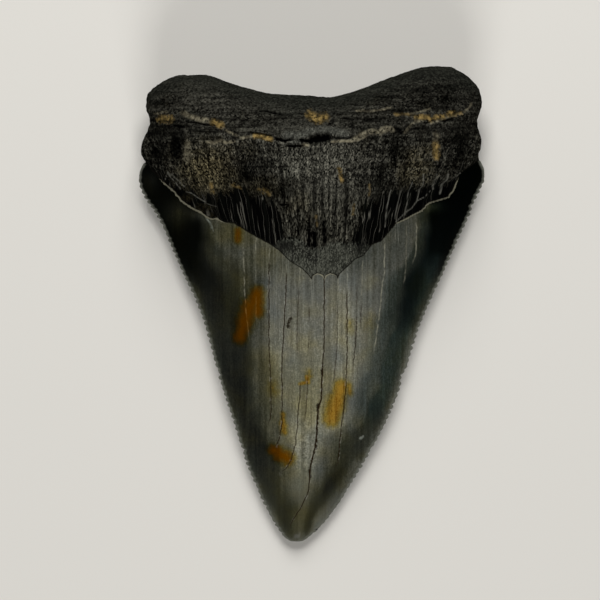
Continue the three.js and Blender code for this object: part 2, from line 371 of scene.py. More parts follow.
# %% Borders of the tissues
ENAMEL_MARGIN = [
    (143, 161), (152, 172), (162, 183), (172, 191), (181, 202), (193, 210), (200, 213), (206, 218),
    (211, 220), (216, 219), (222, 223), (233, 224), (243, 230), (253, 236), (270, 245), (279, 251),
    (289, 261), (302, 269), (308, 275), (312, 280.5), (313, 276), (318, 273.5), (323, 276), (324.5, 281),
    (326, 276), (331, 273.5), (336.5, 276), (338, 279.5), (340, 274), (350, 265), (355, 260), (364, 256),
    (369, 250), (373, 245), (382, 242), (387, 236), (397, 224), (406, 220), (415, 215), (423, 211),
    (429, 204), (449, 198), (456, 188), (460, 174), (480, 160),
]
ROOT_LOWER_EDGE = [
    (140, 158), (163, 175), (181, 187), (200, 197), (214, 196), (236, 190), (258, 194), (274, 203),
    (280, 214), (283, 236), (300, 250), (345, 252), (354, 236), (364, 214), (373, 200), (385, 192),
    (402, 190), (425, 187), (451, 180), (484, 158),
]
MATTE_TONGUE_TOP = [
    (260, 262), (270, 250), (279, 241), (290, 237), (302, 240), (312, 249), (322, 248), (332, 242),
    (345, 242), (358, 244), (366, 243), (376, 254), (390, 256),
]
NECK_REACH = 3


def distance_to(points):
    """How far every place on the inner face is from a drawn line, in photo pixels."""
    nearest = np.full(seen_x.shape, np.inf)
    for (ax, ay), (bx, by) in zip(points[:-1], points[1:]):
        dx, dy = bx - ax, by - ay
        t = np.clip(((seen_x - ax) * dx + (seen_y - ay) * dy) / (dx * dx + dy * dy), 0, 1)
        nearest = np.minimum(nearest, np.hypot(seen_x - ax - t * dx, seen_y - ay - t * dy))
    return nearest


def below(points):
    """How far every place lies below a line that runs from left to right, in photo pixels."""
    return seen_y - np.interp(seen_x, *np.array(points, float).T)


fields = {}
fields["enamel"] = np.copysign(distance_to(ENAMEL_MARGIN), below(ENAMEL_MARGIN)) * PIXEL
fields["tongue"] = below(MATTE_TONGUE_TOP) * PIXEL
fields["neck"] = (below(ROOT_LOWER_EDGE) * PIXEL).clip(-NECK_REACH, NECK_REACH)
print(f"{(fields['enamel'] > 0).mean():.0%} of the inner face is enamel")

# %% [markdown]
# ## Sediment, hollows and stains
#
# Lying on the sea bed, the tooth took up mud in its cracks and iron stains in its enamel, mineral veins grew
# on its neck, and crumbs fell out of its cracks. The hollows left by the crumbs, in the open crack and
# beside the mud lines are painted near black as painted shade. All these could be painted on a picture of
# the surface.
# Here each one is a brush stroke instead, a line of pixels with a half width, which stays sharp at any
# size. The strokes of one kind are kept as one field that is 1 on the line and 0.5 at the stroke's
# border, so the material can roughen that border with noise.

# %% Brush strokes
STROKES = {
    # kind: half width, strength and course of each stroke, in photo pixels
    "ochre": [
        (3.6, 0.7, [(160, 119), (170, 119)]), (3, 1, [(213, 122), (221, 125)]),
        (2.3, 1, [(255, 136), (264, 137), (271, 139)]), (3.9, 0.9, [(310, 115), (317, 119), (325, 117)]),
        (2.2, 0.5, [(396, 114), (404, 114), (412, 115)]),
        (2.4, 0.8, [(416, 117), (424, 117), (430, 118)]),
        (2.2, 0.85, [(431, 120), (437, 117), (444, 117)]), (1.6, 0.85, [(448, 113), (455, 112)]),
        (1.8, 0.6, [(449, 116), (456, 115), (462, 113)]), (3.2, 0.75, [(436, 144), (436, 157)]),
        (1.8, 0.9, [(339, 168), (341, 176), (342, 182)]), (1.6, 0.5, [(354, 205), (353, 215)]),
        (1.6, 0.45, [(370, 185), (369, 197)]), (3, 0.36, [(233, 185), (240, 187)]),
        (3.5, 0.38, [(260, 190), (269, 193)]), (1.5, 0.42, [(316, 216), (317, 226)]),
        (2.4, 0.5, [(211, 184), (212, 193)]),
    ],
    "cream": [
        (2.4, 0.85, [(183, 113), (190, 117), (200, 119), (212, 121)]),
        (1.3, 0.8, [(222, 127), (229, 132), (237, 136)]),
        (1.4, 0.95, [(207, 142), (214, 143), (221, 140), (226, 143), (234, 141)]),
        (1.4, 0.8, [(241, 138), (254, 136)]), (1.3, 0.85, [(332, 142), (340, 141), (352, 141)]),
        (1.7, 0.8, [(353, 140), (359, 135), (368, 132)]),
        (1.4, 0.7, [(355, 141), (362, 138), (368, 134)]),
        (2.6, 0.9, [(370, 132), (379, 132), (386, 129), (392, 129)]),
        (1.2, 0.58, [(356, 110), (372, 111), (381, 109), (392, 107)]),
        (1, 0.7, [(409, 114), (418, 112), (424, 111), (430, 108)]), (1.1, 0.8, [(415, 121), (423, 121)]),
        (1.1, 0.8, [(431, 123), (438, 121), (444, 118)]), (1, 0.6, [(432, 119), (438, 115), (440, 111)]),
        (1.3, 0.7, [(419, 121), (412, 124), (405, 133)]), (3, 0.6, [(187, 143), (186, 158)]),
        (3, 0.5, [(436, 134), (436, 143)]),
        (1.2, 0.8, [(446, 118), (455, 116), (463, 113), (468, 109), (471, 104)]),
        (1.2, 0.7, [(155, 114), (166, 112)]), (1.8, 1, [(304, 145), (307, 145)]),
        (1.7, 0.68, [(360.5, 438.5), (363, 436.5)]), (1, 0.8, [(206, 218), (210, 223), (213, 231)]),
    ],
    "vein": [
        (0.9, 0.9, [(184, 193), (190, 194), (197, 199), (204, 203)]),
        (1, 0.95, [(167, 172), (172, 180), (179, 190)]), (0.8, 0.85, [(206, 205), (216, 208)]),
        (1, 0.95, [(163, 182), (167, 174)]), (1, 0.95, [(171, 174), (184, 188)]),
        (1, 0.95, [(397, 223), (406, 214), (413, 209), (418, 202), (426, 198), (431, 192)]),
        (1, 0.95, [(423, 174), (423, 182), (420, 192), (418, 202)]),
        (1.4, 1, [(436, 174), (433, 183), (434, 190)]),
        (1.5, 1, [(448, 174), (446, 180), (443, 186), (441, 195)]),
        (1, 0.95, [(412, 182), (409, 192), (408, 205), (406, 216)]),
        (1, 0.95, [(402, 187), (400, 197), (398, 207), (396, 220)]), (1.4, 0.9, [(460, 173), (456, 178)]),
        (1, 0.95, [(391, 190), (388, 205), (386, 228)]), (1.2, 0.6, [(443, 172), (452, 168), (458, 171)]),
    ],
    # painted shade: near-black hollows where crumbs fell out, in the open crack and along the mud lines
    "hollow": [
        (1.6, 0.9, [(276, 139), (283, 141), (291, 140)]), (1.3, 0.9, [(288, 146), (303, 146)]),
        (2, 1, [(301, 140), (311, 142)]), (4.4, 1, [(313, 140), (318, 138), (327, 138)]),
        (1.1, 0.7, [(331, 138), (350, 138)]),
        (1.2, 0.8, [(187, 122), (196, 122), (205, 125), (213, 125)]),
        (1.3, 0.8, [(252, 133), (262, 134), (272, 136)]),
        (1.4, 0.7, [(259, 111), (268, 111), (281, 114)]), (1.5, 0.8, [(172, 125), (184, 127)]),
        (1.8, 0.8, [(395, 127), (402, 133)]), (3.2, 0.65, [(329, 124), (334, 121)]),
        (2, 0.6, [(311, 126), (315, 127)]), (1.6, 0.6, [(343, 118), (351, 119), (352, 127)]),
        (1.1, 0.8, [(424, 123), (431, 122)]), (1.3, 0.8, [(444, 121), (452, 119), (456, 117)]),
        (1.4, 0.6, [(325, 144), (329, 144)]), (1.4, 0.6, [(376, 101), (386, 97), (404, 95)]),
        (1.4, 0.6, [(408, 107), (414, 106)]), (2, 0.8, [(291, 318), (288, 323), (288, 328)]),
        (1.8, 0.9, [(318, 405), (318, 410)]), (1.2, 0.9, [(322, 369), (322, 374)]),
        (1.7, 0.9, [(309, 230), (309, 246)]), (2.2, 1, [(314, 233), (315, 246)]),
        (2, 0.9, [(324, 222), (325, 242)]), (1.5, 0.8, [(280, 205), (288, 205)]),
        (1.8, 0.6, [(284, 210), (284, 220)]), (1.4, 0.7, [(290, 216), (290, 224)]),
    ],
    "ledge": [
        (4, 1, [(286, 135), (300, 135), (311, 131), (322, 130), (334, 131), (345, 134)]),
        (2, 1, [(291, 142), (299, 142)]),
    ],
    "stain": [
        (6.2, 1, [(257, 293), (249, 313)]), (7.4, 1, [(249.5, 306), (243.5, 326)]),
        (6.2, 1, [(243, 328), (240, 337)]), (5.4, 1, [(258, 296), (257.5, 312)]),
        (6, 1, [(341, 387), (337, 408)]), (7, 1, [(337, 400), (332, 418)]),
        (5, 1, [(273, 450), (279, 452)]), (6.3, 1, [(279, 454), (287, 458)]),
        (2.4, 0.8, [(283, 414), (283, 422)]), (3.2, 0.8, [(283, 424), (284, 432)]),
        (2, 0.9, [(307, 377), (308, 382)]), (1.6, 0.75, [(300, 384), (308, 382)]),
        (3, 0.5, [(309, 372), (310, 376)]), (4.5, 0.36, [(350, 323), (350, 329)]),
        (3.6, 0.85, [(238, 231), (238, 240)]), (4.5, 0.42, [(272, 386), (273, 391)]),
        (3, 0.65, [(349, 385), (350, 394)]), (5, 0.24, [(371, 318), (371, 326)]),
    ],
}
CRUMB_ROWS, CRUMB_ASIDE, CRUMB_STRENGTH = (404, 478, 6), 1.3, 0.9
CRUMB_HALF_WIDTHS, CRUMB_LENGTHS = (0.5, 1.3), (0.5, 3)
main_x, main_y = np.array(CRACKS[MAIN_CRACK][0], float).T
for crumb_y in np.arange(*CRUMB_ROWS):
    crumb_x = np.interp(crumb_y, main_y, main_x) + dice.uniform(-CRUMB_ASIDE, CRUMB_ASIDE)
    half = dice.uniform(*CRUMB_HALF_WIDTHS)
    crumb_end = crumb_y + dice.uniform(*CRUMB_LENGTHS)
    STROKES["hollow"].append((half, CRUMB_STRENGTH, [(crumb_x, crumb_y), (crumb_x, crumb_end)]))
for kind, strokes in STROKES.items():
    marks = [force * (1 - distance_to(course) / (2 * half)) for half, force, course in strokes]
    fields[kind] = np.max(marks, axis=0).clip(-1, 1)
print({kind: len(strokes) for kind, strokes in STROKES.items()})

# %% [markdown]
# ## Light and dark of the enamel
#
# The enamel is pale over the thick core of the crown and dark towards the cutting edges, olive on the left
# and blue-grey on the right. This tone is partly the enamel's own grey and partly painted light: painted
# shade darkens the flanks and the tip, and a painted sheen lightens the core a little above the tip. Three
# lines on each side mark where the core starts to lose light, where it ends and where the flank is darkest.
# Short lists give how pale or dark core and flanks are on the way down, and soft round patches and bands add
# the clouds that stand out. A painted picture could hold all this, but lines and patches can be read and
# moved one by one.

# %% Tones
# photo row and photo column of each line
PALE_LEFT = [
    (226, 208), (240, 216), (262, 244), (280, 275), (300, 270), (340, 270), (360, 280), (400, 289),
    (440, 292), (480, 294), (541, 296),
]
CORE_LEFT = [
    (226, 206), (240, 210), (262, 216), (280, 248), (300, 256), (340, 258), (400, 263), (420, 272),
    (440, 281), (460, 290), (480, 287), (541, 284),
]
FLANK_LEFT = [
    (226, 199), (240, 197), (262, 192), (280, 198), (300, 220), (340, 240), (400, 244), (440, 259),
    (460, 272), (480, 270), (541, 277),
]
PALE_RIGHT = [
    (226, 422), (240, 415), (262, 408), (280, 380), (300, 380), (320, 372), (340, 364), (360, 356),
    (420, 346), (440, 320), (480, 312), (541, 302),
]
CORE_RIGHT = [
    (226, 424), (240, 418), (262, 411), (280, 400), (300, 392), (340, 384), (400, 365), (420, 356),
    (440, 334), (480, 322), (541, 306),
]
FLANK_RIGHT = [
    (226, 432), (262, 425), (290, 406), (310, 408), (340, 391), (360, 389), (380, 384), (400, 374),
    (420, 369), (440, 352), (460, 340), (500, 323), (541, 310),
]
# photo row and tone, from 0 for black to 0.6 for the palest grey
# the rise near row 440 is a painted sheen, and the fall towards the tip is partly painted shade
CORE_TONE = [
    (220, 0.25), (262, 0.275), (280, 0.33), (300, 0.355), (320, 0.38), (360, 0.405), (400, 0.4),
    (440, 0.465), (480, 0.4), (500, 0.29), (515, 0.245), (541, 0.26),
]
# the flank tones, here and on the right, are partly painted shade
LEFT_TONE = [
    (170, 0.016), (262, 0.022), (280, 0.06), (300, 0.11), (360, 0.135), (380, 0.115), (420, 0.115),
    (460, 0.14), (500, 0.165), (520, 0.22), (541, 0.25),
]
RIGHT_TONE = [
    (170, 0.004), (250, 0.03), (262, 0.055), (280, 0.07), (300, 0.08), (320, 0.115), (340, 0.2),
    (380, 0.2), (420, 0.17), (440, 0.18), (460, 0.17), (480, 0.13), (500, 0.17), (520, 0.225),
    (541, 0.25),
]
WANDER, WANDER_SIZE = 4, 4
SHOULDER, SHOULDER_LEAD = 0.63, 4
EDGE_TONE, EDGE_REACH, EDGE_ROWS = 0.1, 0.9, (250, 290)
TONE_PATCHES = [
    # middle, reach, amount
    (177, 214, 11, 12, 0.1), (150, 182, 8, 9, 0.04), (432, 207, 11, 5, 0.1), (424, 264, 7, 14, 0.03),
    (197, 215, 11, 6, 0.09), (211, 224, 5, 6, -0.03), (208, 237, 5, 8, -0.05), (347, 325, 12, 60, 0.07),
    (322, 452, 7, 14, -0.05),
]
TONE_BANDS = [
    # reach, amount, course
    (5, 0.08, [(355, 464), (343, 484), (330, 503), (317, 521)]),
    (7, -0.02, [(342, 470), (330, 486), (320, 503)]), (6, 0.06, [(437, 260), (427, 286), (418, 310)]),
]


def down_tooth(points):
    """A value for every place, from (photo row, value) points."""
    return smooth_line(points, seen_y)


def noise_at(places, size, octaves, shift):
    """Cloudy noise between about -1 and 1 for every place, with clouds of this size in mm."""
    offset = Vector((shift, 2 * shift, 0))
    flat_list = [noise.fractal(Vector(p) / size + offset, 1, 2, octaves) for p in places.reshape(-1, 3)]
    return np.array(flat_list).reshape(places.shape[:-1])


def soft_patch(px, py, reach_x, reach_y):
    """1 in the middle of a round patch and fading to 0 around it, in photo pixels."""
    return np.exp(-(((seen_x - px) / reach_x) ** 2) - ((seen_y - py) / reach_y) ** 2)


inner = np.dstack([x_mm, y_mm, inner_z])
wander_x = seen_x + WANDER * noise_at(inner, WANDER_SIZE, octaves=2, shift=21)
tone = down_tooth(CORE_TONE)
SIDES = [
    # outward, where the core starts to lose light, where it ends, where the flank is darkest, its tone
    (-1, PALE_LEFT, CORE_LEFT, FLANK_LEFT, LEFT_TONE), (1, PALE_RIGHT, CORE_RIGHT, FLANK_RIGHT, RIGHT_TONE),
]
for outward, pale_line, core_line, flank_line, dark in SIDES:
    pale_x, core_x, flank_x = (outward * down_tooth(line) for line in (pale_line, core_line, flank_line))
    shoulder = rise(outward * wander_x, pale_x - SHOULDER_LEAD, core_x)
    flank = rise(outward * wander_x, core_x, flank_x)
    tone *= 1 - (1 - SHOULDER) * shoulder
    tone += (down_tooth(dark) - tone) * flank
for *patch, amount in TONE_PATCHES:
    tone += amount * soft_patch(*patch)
for reach, amount, course in TONE_BANDS:
    tone += amount * fade(distance_to(course), reach)
tone += EDGE_TONE * fade(edge_mm, EDGE_REACH) * rise(seen_y, *EDGE_ROWS)
fields["tone"] = tone
print(f"enamel tone from {fields['tone'].min():.2f} to {fields['tone'].max():.2f}")

# %% [markdown]
# ## Tints and patches
#
# The right flank is blue-grey, the pale core has warm clouds, and the root has darker, paler and browner
# places. The darker ones, the shade field, are partly dark rock and partly painted shade: a shadow band
# beside the mud lines on the left, the rim where it slopes away, and the edges of the raised tongue. One
# field for each of them keeps colour apart from the tone. The cool tint follows the right flank of the last
# step and ends above the tip and short of the cutting edge. The others are soft round patches, the strongest
# of which holds where several overlap.

# %% Cool flank and soft patches
SHOULDER_COOL, EDGE_COOL = 0.45, (0.2, 1.8)
COOL_LOSS, COOL_LOSS_ROWS, COOL_END_ROWS = 0.2, (320, 350), (405, 440)
PATCHES = {
    # kind: middle, reach and strength of each soft patch
    # shade is partly dark rock and partly painted shade: the band at 176, 146 beside the mud lines, the two
    # wide patches along the rim and the two at the tongue's edges
    "shade": [
        (158, 152, 14, 34, 0.85), (176, 146, 8, 24, 1.1), (248, 172, 20, 20, 0.95),
        (266, 182, 14, 14, 0.85), (282, 188, 13, 17, 0.9), (396, 150, 14, 22, 0.9),
        (383, 172, 16, 22, 0.7), (460, 146, 18, 28, 0.85), (440, 92, 60, 22, 0.6), (310, 98, 55, 9, 0.6),
        (318, 230, 26, 13, 0.5), (350, 119, 12, 7, 0.55), (300, 222, 14, 18, 0.5),
        (366, 208, 18, 26, 0.5), (260, 118, 22, 8, 0.35), (361, 247, 8, 9, 0.9), (283, 247, 17, 9, 0.85),
        (412, 166, 18, 18, 0.32), (360, 178, 11, 22, 0.6), (347, 217, 9, 15, 0.5),
    ],
    "pale": [
        (330, 168, 22, 34, 0.8), (297, 168, 16, 24, 0.6), (296, 128, 26, 8, 0.5), (205, 104, 26, 16, 0.3),
        (278, 104, 16, 8, 0.4),
    ],
    "brown": [
        (208, 174, 32, 28, 1.1), (262, 186, 26, 12, 0.7), (415, 168, 20, 22, 0.65),
        (300, 205, 14, 14, 0.4),
    ],
    "tissue": [(203, 209, 13, 7, 0.85), (186, 199, 11, 7, 0.75), (212, 221, 6, 9, 1.1)],
    "warm": [
        (272, 390, 16, 52, 1), (230, 234, 34, 16, 0.9), (262, 262, 26, 16, 0.7), (305, 400, 44, 60, 0.75),
        (298, 478, 24, 36, 0.7), (297, 517, 24, 26, 0.8), (340, 448, 13, 30, 0.7),
        (236, 296, 16, 30, 0.8), (348, 345, 14, 40, 0.5), (434, 207, 14, 9, 1), (178, 218, 16, 22, 1),
    ],
    "rough": [(305, 446, 12, 26, 1)],
}
cool = np.maximum(flank, SHOULDER_COOL * shoulder) * (1 - COOL_LOSS * rise(seen_y, *COOL_LOSS_ROWS))
cool *= 1 - rise(seen_y, *COOL_END_ROWS)
fields["cool"] = cool * rise(edge_mm, *EDGE_COOL)
for kind, patches in PATCHES.items():
    fields[kind] = np.max([strength * soft_patch(*patch) for *patch, strength in patches], axis=0)
print({kind: len(patches) for kind, patches in PATCHES.items()})

# %% [markdown]
# ## Cracks as fields
#
# Each vertex knows the crack nearest to it: how far away it is, and how strongly it shows on this row. A
# dark crack is an open line, and a pale one is filled with mineral. A drawn curve would have to be laid
# on the surface, but distances can be worked out for all the places of the grid at once.

# %% Distance to the nearest crack
GAPING = 0.06
FADE_IN, FADE_OUT = (-4, 4), (-8, 4)
crack_x = left_x + row_width * crack_share
distance = np.abs(photo_x[None] - crack_x[:, :, None]) * PIXEL
nearest = distance.argmin(axis=0)
strength = np.zeros((len(CRACKS), ROWS))
for k, (_, stretches) in enumerate(CRACKS):
    for start, end, amount in stretches:
        begun, ended = rise(row_y - start, *FADE_IN), rise(row_y - end, *FADE_OUT)
        strength[k] += amount * begun * (1 - ended)
fields["crack"] = np.take_along_axis(strength, nearest.T, axis=0).T
fields["crack_mm"] = distance.min(axis=0) - GAPING * (fields["crack"] - 1).clip(0)
print(f"{(np.abs(fields['crack']) > 0.2).mean():.0%} of the places lie nearest to a crack that shows")

# %% [markdown]
# ## Zones
#
# The root changes on its way down: its rim is worn smooth and darkened with painted shade where it slopes
# away, its middle has finer pores, and its lower part drips down in fibres. A thin pale line shows along the
# enamel's edge, but only on the two wings and round the scalloped end, and the streaks of the enamel fade
# towards the tip. Vertex paint could mark such zones. They only follow the height and width of the tooth, so
# a smooth rise from one photo row to another is enough.

# %% Rim, middle, lower root, wings and tip
RIM_WEAR_AND_SHADE = (0.5, 5)
MIDDLE_ROWS, LOWER_ROWS, TIP_ROWS = (118, 145), (170, 215), (465, 500)
TIP_LOSS, MIDDLE_DRIP, LOWER_DRIP = 0.6, 0.65, 0.35
LEFT_WING, RIGHT_WING, WING_ROWS = (214, 236), (392, 402), (172, 188)
SCALLOPS, SCALLOP_STRENGTH = (323, 276, 14, 5), 1.2
fields["edge"] = edge_mm
# the rim's grain is worn smooth, and the rim layer darkens it as painted shade
fields["rim"] = 1 - rise(from_rim, *RIM_WEAR_AND_SHADE)
fields["middle"] = rise(seen_y, *MIDDLE_ROWS)
fields["lower"] = rise(seen_y, *LOWER_ROWS)
fields["streaky"] = 1 - TIP_LOSS * rise(seen_y, *TIP_ROWS)
fields["drip"] = MIDDLE_DRIP * fields["middle"] + LOWER_DRIP * fields["lower"]
wing = np.maximum(1 - rise(seen_x, *LEFT_WING), rise(seen_x, *RIGHT_WING)) * rise(seen_y, *WING_ROWS)
fields["wing"] = np.maximum(wing, SCALLOP_STRENGTH * soft_patch(*SCALLOPS))
print(len(fields), "fields in all")

# %% [markdown]
# ## Relief
#
# A fossil root is rough like pumice, and enamel is nearly smooth. Bump alone would leave the outline and
# the exported mesh flat, so all that is larger than the mesh's own spacing is moved along the surface
# normal: lumps and grain of the root, the open crack with its hole and the ledge above it, mud lines, the
# step down to the neck, the tongue, the lip of the enamel, its cracks and a thin bead along the cutting
# edge.

# %% Press the relief into the inner face
GRAIN_COARSE, GRAIN_FINE, LUMP, WAVE = 1.1, 0.5, 8, 6
COARSE_SHARE, FINE_SHARE = 0.6, 0.4
LUMP_HEIGHT, GRAIN_HEIGHT, NECK_DROP, TONGUE_HEIGHT = 0.3, 0.16, 0.3, 0.1
WAVE_HEIGHT, ENAMEL_DROP, HOLLOW_DEPTH, LEDGE_HEIGHT, MUD_DEPTH = 0.04, 0.02, 0.45, 0.25, 0.08
CRACK_DEPTH, CRACK_REACH, DEEPEST_CRACK = 0.05, 0.11, 1.4
BEAD_HEIGHT, BEAD_REACH = 0.1, 0.35
NEVER_ZERO = 1e-9


def raise_along_normal(places, relief, facing):
    """Moves every place out of the face it lies on by its own relief, in mm."""
    normal = np.cross(np.gradient(places, axis=0), np.gradient(places, axis=1)) * facing
    normal /= np.linalg.norm(normal, axis=2, keepdims=True) + NEVER_ZERO
    return places + normal * relief[..., None]


# each rise names the values of the field, in its own unit, where that form begins and where it is full
enamelled = rise(fields["enamel"], -0.06, 0.1)
rooty = (1 - rise(fields["neck"], -0.4, 0.6)) * (1 - enamelled)
lumps = noise_at(inner, LUMP, octaves=2, shift=3)
root_grain = COARSE_SHARE * noise_at(inner, GRAIN_COARSE, octaves=2, shift=7)
root_grain += FINE_SHARE * noise_at(inner, GRAIN_FINE, octaves=1, shift=9)
relief = rooty * (LUMP_HEIGHT * lumps + GRAIN_HEIGHT * root_grain)
relief -= NECK_DROP * rise(fields["neck"], -0.5, 0.5) * (1 - enamelled)
relief += TONGUE_HEIGHT * rise(fields["tongue"], -0.2, 0.4) * (1 - enamelled)
relief += enamelled * (WAVE_HEIGHT * noise_at(inner, WAVE, octaves=2, shift=5) - ENAMEL_DROP)
relief -= HOLLOW_DEPTH * rise(fields["hollow"], 0.3, 0.95) * rooty
relief += LEDGE_HEIGHT * rise(fields["ledge"], 0.2, 0.9)
relief -= MUD_DEPTH * rise(np.maximum(fields["cream"], fields["ochre"]), 0.2, 0.7) * rooty
opened = fields["crack"].clip(0, DEEPEST_CRACK)
relief -= CRACK_DEPTH * opened * fade(fields["crack_mm"], CRACK_REACH)
relief += BEAD_HEIGHT * fade(edge_mm, BEAD_REACH) * enamelled
inner = raise_along_normal(inner, relief, 1)
print(f"relief of the inner face from {relief.min():.2f} to {relief.max():.2f} mm")

# %% [markdown]
# ## The outer face
#
# The tooth lies on its outer face, which only shows from low down or when it is turned over. Its enamel
# ends in a wavy line, and above it the root is nearly as lumpy as on the other side. It could copy the
# inner face, but half the rows and columns are enough here, and no place may sink below the floor.

# %% Press the relief into the outer face
OUTER_LINE_WAVE, OUTER_LINE_SIZE = 0.5, 5
OUTER_LUMP_HEIGHT, OUTER_GRAIN_HEIGHT, OUTER_ROOT_DROP, OUTER_CRACK_REACH = 0.25, 0.1, 0.1, 0.15
outer = np.dstack([x_mm, y_mm, outer_z])[::2, ::2]
outer_wave = OUTER_LINE_WAVE * noise_at(outer, OUTER_LINE_SIZE, octaves=2, shift=11)
outer_enamel = -above_outer[::2, ::2] + outer_wave
outer_root = 1 - rise(outer_enamel, -0.15, 0.15)
outer_grain = COARSE_SHARE * noise_at(outer, GRAIN_COARSE, octaves=2, shift=13)
outer_lumps = OUTER_LUMP_HEIGHT * noise_at(outer, LUMP, octaves=2, shift=15)
outer_relief = outer_root * (outer_lumps + OUTER_GRAIN_HEIGHT * outer_grain - OUTER_ROOT_DROP)
outer_crack, outer_crack_mm = (fields[name][::2, ::2] for name in ("crack", "crack_mm"))
outer_relief -= CRACK_DEPTH * np.abs(outer_crack) * fade(outer_crack_mm, OUTER_CRACK_REACH)
outer = raise_along_normal(outer, outer_relief, -1)
outer[..., 2] = outer[..., 2].clip(0)
print(f"relief of the outer face from {outer_relief.min():.2f} to {outer_relief.max():.2f} mm")

# %% [markdown]
# ## One closed mesh
#
# The inner face takes every row and column. The outer face lies on the floor and takes every second one,
# which keeps the whole tooth under 200,000 triangles. Both share the vertices of the outline, so the
# faces of the outer border get an extra corner in the middle of that side, and the mesh is closed without
# any welding.

# %% Faces
inner_id = np.arange(ROWS * COLUMNS).reshape(ROWS, COLUMNS)
outer_id = inner_id[::2, ::2].copy()
hidden = (outer_id.shape[0] - 2) * (outer_id.shape[1] - 2)
outer_id[1:-1, 1:-1] = ROWS * COLUMNS + np.arange(hidden).reshape(outer_id.shape[0] - 2, -1)
inner_corners = [inner_id[:-1, :-1], inner_id[1:, :-1], inner_id[1:, 1:], inner_id[:-1, 1:]]
inner_faces = np.dstack(inner_corners).reshape(-1, 4)

outer_faces = []
last_row, last_column = outer_id.shape[0] - 2, outer_id.shape[1] - 2
for i in range(last_row + 1):
    for j in range(last_column + 1):
        top = [inner_id[0, 2 * j + 1]] if i == 0 else []
        right = [inner_id[2 * i + 1, -1]] if j == last_column else []
        bottom = [inner_id[-1, 2 * j + 1]] if i == last_row else []
        left = [inner_id[2 * i + 1, 0]] if j == 0 else []
        outer_faces.append([outer_id[i, j], *top, outer_id[i, j + 1], *right, outer_id[i + 1, j + 1],
                            *bottom, outer_id[i + 1, j], *left])


def on_vertices(inner_values, outer_values):
    """One row for each vertex: all of the inner face, then the outer one inside its outline."""
    under = outer_values[1:-1, 1:-1].reshape(hidden, -1)
    return np.concatenate([inner_values.reshape(ROWS * COLUMNS, -1), under])


def put_in_scene(name, data):
    """Adds an object with this data to the scene."""
    made = bpy.data.objects.new(name, data)
    bpy.context.scene.collection.objects.link(made)
    return made


vertices = on_vertices(inner, outer) * MM
mesh = bpy.data.meshes.new("shark_tooth")
mesh.from_pydata(vertices, [], inner_faces.tolist() + outer_faces)
mesh.shade_smooth()
tooth = put_in_scene("shark_tooth", mesh)
triangles = sum(len(p.vertices) - 2 for p in mesh.polygons)
print(f"{len(mesh.vertices)} vertices, {triangles} triangles")

# %% [markdown]
# ## Fields on the mesh
#
# The fields become named attributes of the mesh, which the material reads by name. The outer face gets
# its own values: its enamel reaches higher, and it has no black neck, mud or stains. Each field could be
# a picture, but an attribute needs no map and is as fine as the mesh. One more attribute runs along the
# columns, so grain and streaks can follow the way the tooth grew.

# %% Attributes
OUTER_CRACKS = 0.7
ABSENT = {"neck": -NECK_REACH, "tongue": -5, **dict.fromkeys(STROKES, -1)}
outer_fields = {name: values[::2, ::2].copy() for name, values in fields.items()}
outer_fields["enamel"] = outer_enamel
outer_fields["crack"] *= OUTER_CRACKS
for name, value in ABSENT.items():
    outer_fields[name][:] = value
for name, values in fields.items():
    column = on_vertices(values, outer_fields[name]).ravel()
    mesh.attributes.new(name, "FLOAT", "POINT").data.foreach_set("value", column)

GROWTH_FAN, GROWTH_ROW = (318, 640), 200
fan_share = (GROWTH_FAN[1] - GROWTH_ROW) / (GROWTH_FAN[1] - photo_y)
growth = np.dstack([(photo_x - GROWTH_FAN[0]) * fan_share * PIXEL, y_mm, np.zeros_like(y_mm)])
along = on_vertices(growth, growth[::2, ::2]).ravel()
mesh.attributes.new("growth", "FLOAT_VECTOR", "POINT").data.foreach_set("vector", along)
print("attributes:", ", ".join(fields), "and growth")

# %% [markdown]
# ## A map for baking
#
# When the tooth is exported, its colours are baked into a picture, and that needs a flat map of the
# surface. An automatic unwrap would cut it into many islands. The rows and columns already are a map:
# unrolled by their real lengths, the two faces lie side by side with hardly any stretch.

# %% Unroll both faces
INNER_CENTRE, OUTER_CENTRE, MAP_FILL = (0.25, 0.5), (0.75, 0.5), 0.96


def unroll(places):
    """The face laid flat around its middle, by the lengths of its rows and columns."""
    across = np.linalg.norm(np.diff(places, axis=1, prepend=places[:, :1]), axis=2).cumsum(axis=1)
    across -= across[:, [across.shape[1] // 2]]
    down = np.linalg.norm(np.diff(places, axis=0, prepend=places[:1]), axis=2).cumsum(axis=0)
    down -= down[[down.shape[0] // 4]]
    flat_map = np.dstack([across, -down])
    middle = (flat_map.reshape(-1, 2).max(axis=0) + flat_map.reshape(-1, 2).min(axis=0)) / 2
    return flat_map - middle


inner_map, outer_map = unroll(inner), unroll(outer)
widest, tallest = np.max([np.ptp(m, axis=(0, 1)) for m in (inner_map, outer_map)], axis=0)
map_scale = MAP_FILL / max(2 * widest, tallest)
place_on_map = np.zeros((2, len(vertices), 2))
place_on_map[0, inner_id] = inner_map * map_scale + INNER_CENTRE
place_on_map[1, outer_id] = outer_map * map_scale + OUTER_CENTRE
for face in outer_faces:
    for k, v in enumerate(face):
        if v < ROWS * COLUMNS and not place_on_map[1, v].any():
            before, after = face[k - 1], face[(k + 1) % len(face)]
            place_on_map[1, v] = (place_on_map[1, before] + place_on_map[1, after]) / 2

corner_vertex = np.zeros(len(mesh.loops), int)
mesh.loops.foreach_get("vertex_index", corner_vertex)
on_outer = (np.arange(len(mesh.loops)) >= 4 * len(inner_faces)).astype(int)
bake_map = mesh.uv_layers.new(name="OFBake")
bake_map.data.foreach_set("uv", place_on_map[on_outer, corner_vertex].ravel())
print(f"bake map: {widest:.0f} x {tallest:.0f} mm for each face")

